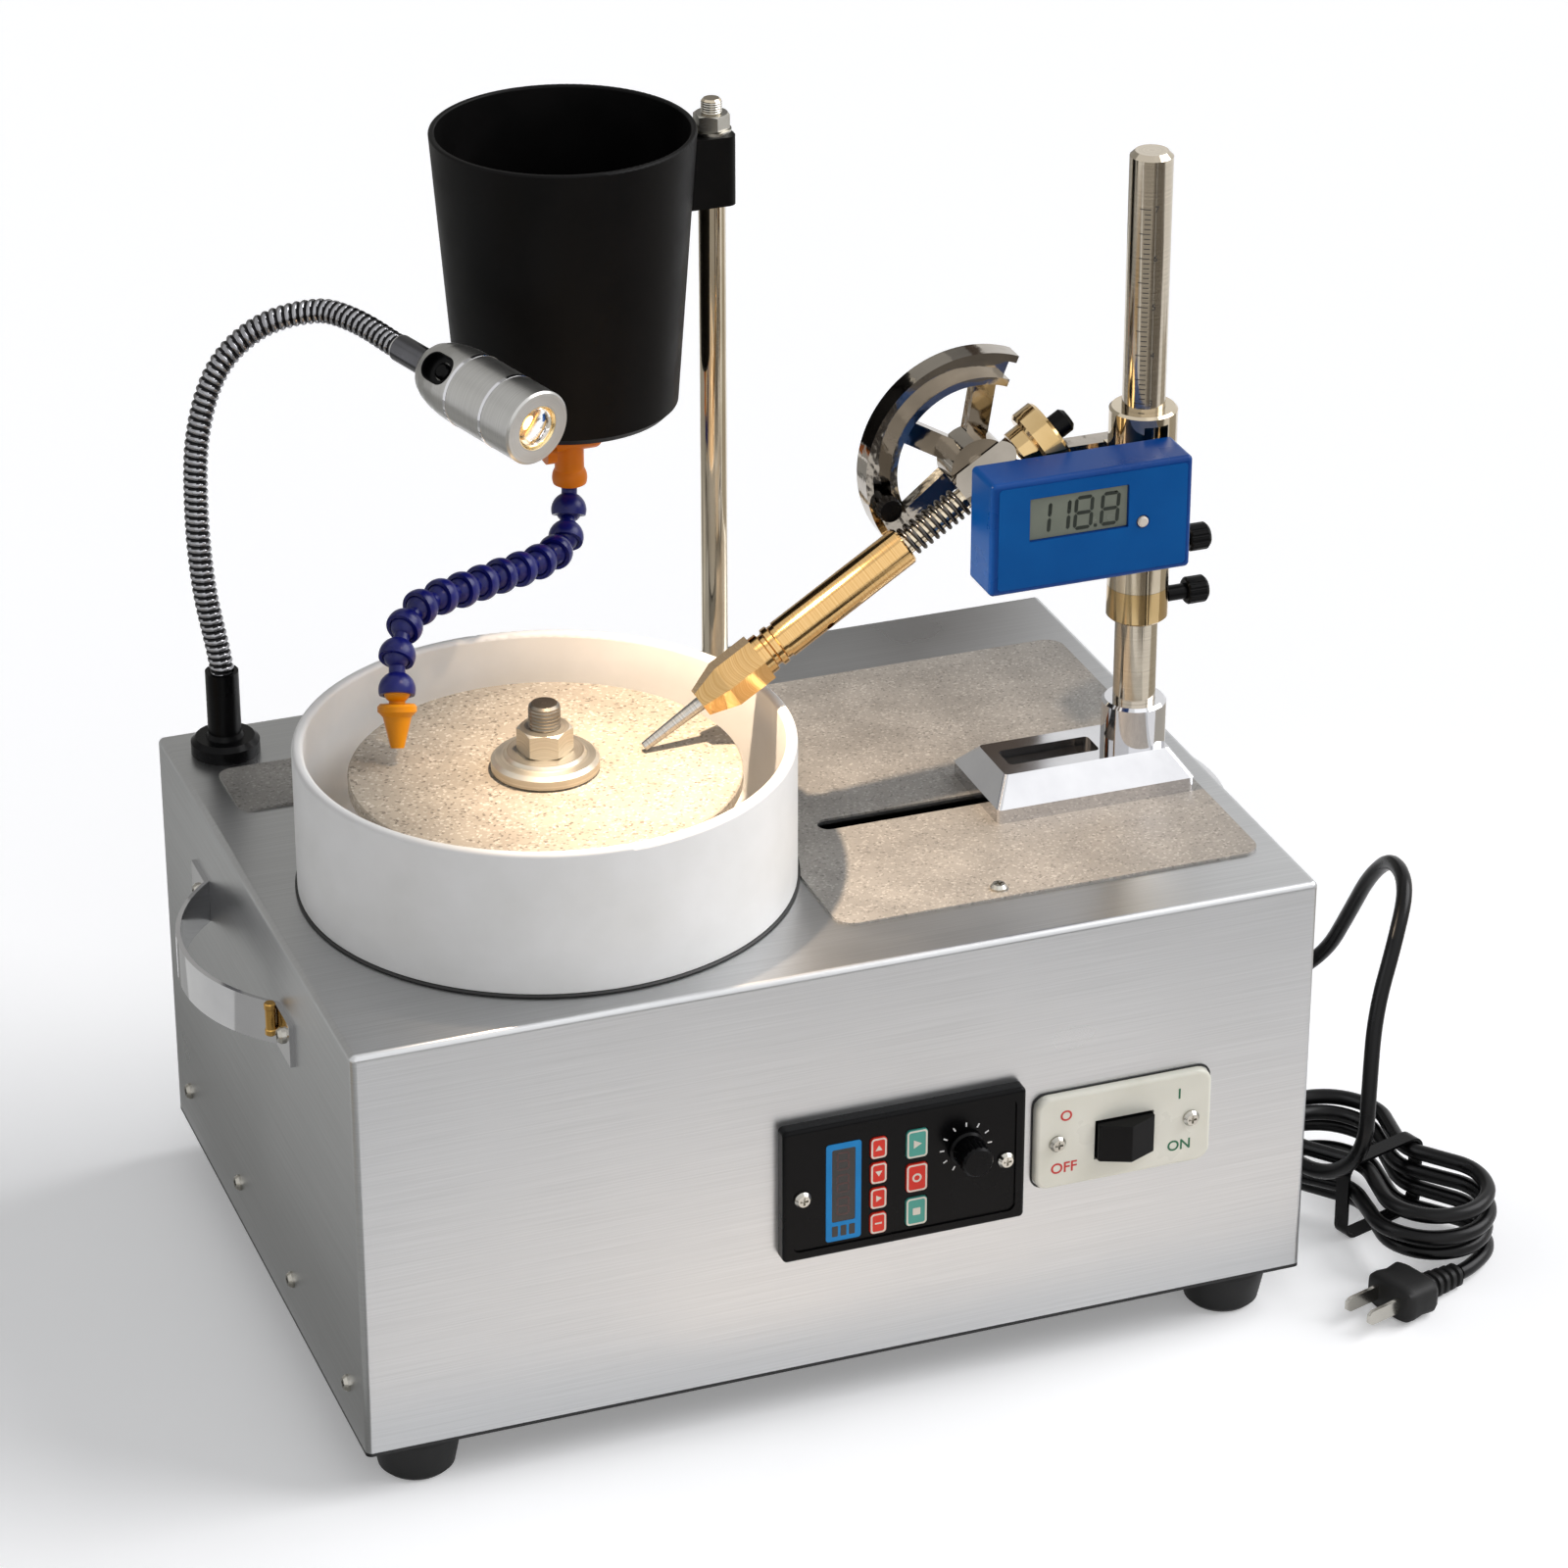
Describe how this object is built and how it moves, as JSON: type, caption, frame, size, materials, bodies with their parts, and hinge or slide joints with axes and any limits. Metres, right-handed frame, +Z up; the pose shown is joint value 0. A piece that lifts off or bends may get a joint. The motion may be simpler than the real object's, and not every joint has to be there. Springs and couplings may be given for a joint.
{
  "type": "gem faceting machine",
  "caption": "Bench lapidary machine: a flat lap spins in a splash bowl while a sprung quill on a sliding mast holds the stone; drip tank, lamp and drive panel.",
  "frame": {"origin": "centre of the four feet's footprint, on the bench", "axes": "+X to the operator's right, +Y to the back, +Z up"},
  "size_m": [0.5102, 0.3352, 0.461],
  "materials": {
    "stainless_sheet": "brushed",
    "black_steel": "satin",
    "black_rubber": "matte",
    "screw_steel": "bright",
    "grit_sheet": "gritty",
    "white_plastic": "satin",
    "motor_black": "satin",
    "spindle_steel": "turned",
    "cast_aluminium": "machined",
    "lap_grit": "gritty",
    "chrome": "polished",
    "brass": "polished",
    "black_plastic": "satin",
    "blue_plastic": "satin",
    "grey_plastic": "satin",
    "spring_steel": "bright",
    "orange_plastic": "satin",
    "navy_plastic": "satin",
    "amber_plastic": "satin",
    "satin_aluminium": "satin",
    "red_plastic": "satin",
    "green_plastic": "satin",
    "ivory_plastic": "satin",
    "cord_rubber": "satin"
  },
  "bodies": {
    "base": {"housing_shell": "stainless_sheet", "base_tray": "black_steel", "rubber_feet": "black_rubber", "pan_head_screws": "screw_steel", "grit_plates": "grit_sheet", "side_handles": "chrome", "splash_bowl": "white_plastic", "motor_body": "motor_black", "tank_rod": "chrome", "rod_nuts": "chrome", "lamp_socket": "black_plastic", "operator_panel": "black_plastic", "switch_plate": "ivory_plastic", "cord_gland": "black_rubber", "power_cord": "cord_rubber", "cord_hank": "cord_rubber", "cord_tie": "black_plastic", "power_plug": "black_rubber"},
    "lap": {"motor_shaft": "spindle_steel", "lap_platen": "cast_aluminium", "lap_disc": "lap_grit", "lap_flange": "chrome", "lap_nut": "chrome"},
    "mast": {"mast_foot": "chrome", "mast_rod": "chrome"},
    "stop": {"stop_collar": "chrome"},
    "stop_screw": {"collar_knob": "black_plastic"},
    "head": {"head_sleeve": "chrome", "protractor": "chrome", "readout_case": "blue_plastic"},
    "head_screw": {"sleeve_knob": "black_plastic"},
    "zero_button": {"readout_button": "grey_plastic"},
    "cradle": {"trunnion_block": "chrome", "pivot_nut": "chrome", "quill_spring": "spring_steel"},
    "quill": {"quill_shaft": "chrome"},
    "index": {"quill_sleeve": "brass", "dop_chuck": "brass", "dop_stick": "spindle_steel", "index_wheel": "chrome", "index_knob": "black_plastic"},
    "tank": {"tank_bracket": "black_plastic", "water_tank": "black_plastic", "valve_body": "orange_plastic"},
    "valve": {"valve_handle": "orange_plastic"},
    "hose_a": {"hose_upper": "navy_plastic"},
    "hose_b": {"hose_lower": "navy_plastic", "drip_nozzle": "amber_plastic"},
    "lamp": {"gooseneck": "chrome", "lamp_head": "satin_aluminium"},
    "lamp_switch": {"lamp_button": "black_plastic"},
    "speed": {"speed_knob": "black_plastic"},
    "rocker": {"rocker_switch": "black_plastic"},
    "red_key_1_cap": {"red_key_1": "red_plastic"},
    "red_key_2_cap": {"red_key_2": "red_plastic"},
    "red_key_3_cap": {"red_key_3": "red_plastic"},
    "red_key_4_cap": {"red_key_4": "red_plastic"},
    "stop_key_cap": {"stop_key": "green_plastic"},
    "reset_key_cap": {"reset_key": "red_plastic"},
    "run_key_cap": {"run_key": "green_plastic"}
  },
  "joints": [
    {"name": "lap_spin", "type": "hinge", "parent": "base", "child": "lap", "pos_m": [-0.083, -0.03, 0.2415], "axis": [0, 0, 1], "continuous": true},
    {"name": "mast_slide", "type": "slide", "parent": "base", "child": "mast", "axis": [1, 0, 0], "range_m": [-0.015, 0.006]},
    {"name": "collar_lift", "type": "slide", "parent": "mast", "child": "stop", "axis": [0, 0, 1], "range_m": [0, 0.07]},
    {"name": "collar_knob_turn", "type": "hinge", "parent": "stop", "child": "stop_screw", "pos_m": [0.164, -0.03, 0.273], "axis": [1, 0, 0], "continuous": true},
    {"name": "head_swivel", "type": "hinge", "parent": "stop", "child": "head", "pos_m": [0.164, -0.03, 0.28], "axis": [0, 0, 1], "range_deg": [-15, 15]},
    {"name": "sleeve_knob_turn", "type": "hinge", "parent": "head", "child": "head_screw", "pos_m": [0.164, -0.03, 0.296], "axis": [1, 0, 0], "continuous": true},
    {"name": "readout_press", "type": "slide", "parent": "head", "child": "zero_button", "axis": [0, 1, 0], "range_m": [0, 0.0008], "stiffness_N_per_m": 600},
    {"name": "quill_tilt", "type": "hinge", "parent": "head", "child": "cradle", "pos_m": [0.1, -0.03, 0.335], "axis": [0, 1, 0], "range_deg": [0, 35]},
    {"name": "quill_pull", "type": "slide", "parent": "cradle", "child": "quill", "axis": [0.8425, 0, 0.5388], "range_m": [0, 0.005], "stiffness_N_per_m": 900, "deforming": ["quill_spring"]},
    {"name": "quill_index", "type": "hinge", "parent": "quill", "child": "index", "pos_m": [0.1, -0.03, 0.335], "axis": [0.8425, 0, 0.5388], "continuous": true},
    {"name": "tank_swing", "type": "hinge", "parent": "base", "child": "tank", "pos_m": [0.037, 0.112, 0.41], "axis": [0, 0, 1], "range_deg": [-6, 9]},
    {"name": "valve_turn", "type": "hinge", "parent": "tank", "child": "valve", "pos_m": [-0.025, 0.112, 0.315], "axis": [1, 0, 0], "range_deg": [0, 90]},
    {"name": "hose_swing", "type": "hinge", "parent": "tank", "child": "hose_a", "pos_m": [-0.025, 0.112, 0.296], "axis": [0, 0, -1], "range_deg": [-6, 6]},
    {"name": "hose_bend", "type": "hinge", "parent": "hose_a", "child": "hose_b", "pos_m": [-0.07152, 0.05961, 0.28211], "axis": [0, 0, -1], "range_deg": [-8, 8]},
    {"name": "lamp_swing", "type": "hinge", "parent": "base", "child": "lamp", "pos_m": [-0.172, 0.118, 0.219], "axis": [0, 0, 1], "range_deg": [-25, 6]},
    {"name": "lamp_press", "type": "slide", "parent": "lamp", "child": "lamp_switch", "axis": [0.6846, 0.3309, -0.6494], "range_m": [0, 0.0008], "stiffness_N_per_m": 600},
    {"name": "speed_turn", "type": "hinge", "parent": "base", "child": "speed", "pos_m": [0.0466, -0.1452, 0.1098], "axis": [0, -1, 0], "range_deg": [-150, 150]},
    {"name": "rocker_tip", "type": "hinge", "parent": "base", "child": "rocker", "pos_m": [0.11375, -0.143, 0.1005], "axis": [0, 0, 1], "range_deg": [-10, 10]},
    {"name": "red_key_1_press", "type": "slide", "parent": "base", "child": "red_key_1_cap", "axis": [0, 1, 0], "range_m": [0, 0.0006], "stiffness_N_per_m": 600},
    {"name": "red_key_2_press", "type": "slide", "parent": "base", "child": "red_key_2_cap", "axis": [0, 1, 0], "range_m": [0, 0.0006], "stiffness_N_per_m": 600},
    {"name": "red_key_3_press", "type": "slide", "parent": "base", "child": "red_key_3_cap", "axis": [0, 1, 0], "range_m": [0, 0.0006], "stiffness_N_per_m": 600},
    {"name": "red_key_4_press", "type": "slide", "parent": "base", "child": "red_key_4_cap", "axis": [0, 1, 0], "range_m": [0, 0.0006], "stiffness_N_per_m": 600},
    {"name": "stop_key_press", "type": "slide", "parent": "base", "child": "stop_key_cap", "axis": [0, 1, 0], "range_m": [0, 0.0006], "stiffness_N_per_m": 600},
    {"name": "reset_key_press", "type": "slide", "parent": "base", "child": "reset_key_cap", "axis": [0, 1, 0], "range_m": [0, 0.0006], "stiffness_N_per_m": 600},
    {"name": "run_key_press", "type": "slide", "parent": "base", "child": "run_key_cap", "axis": [0, 1, 0], "range_m": [0, 0.0006], "stiffness_N_per_m": 600}
  ]
}
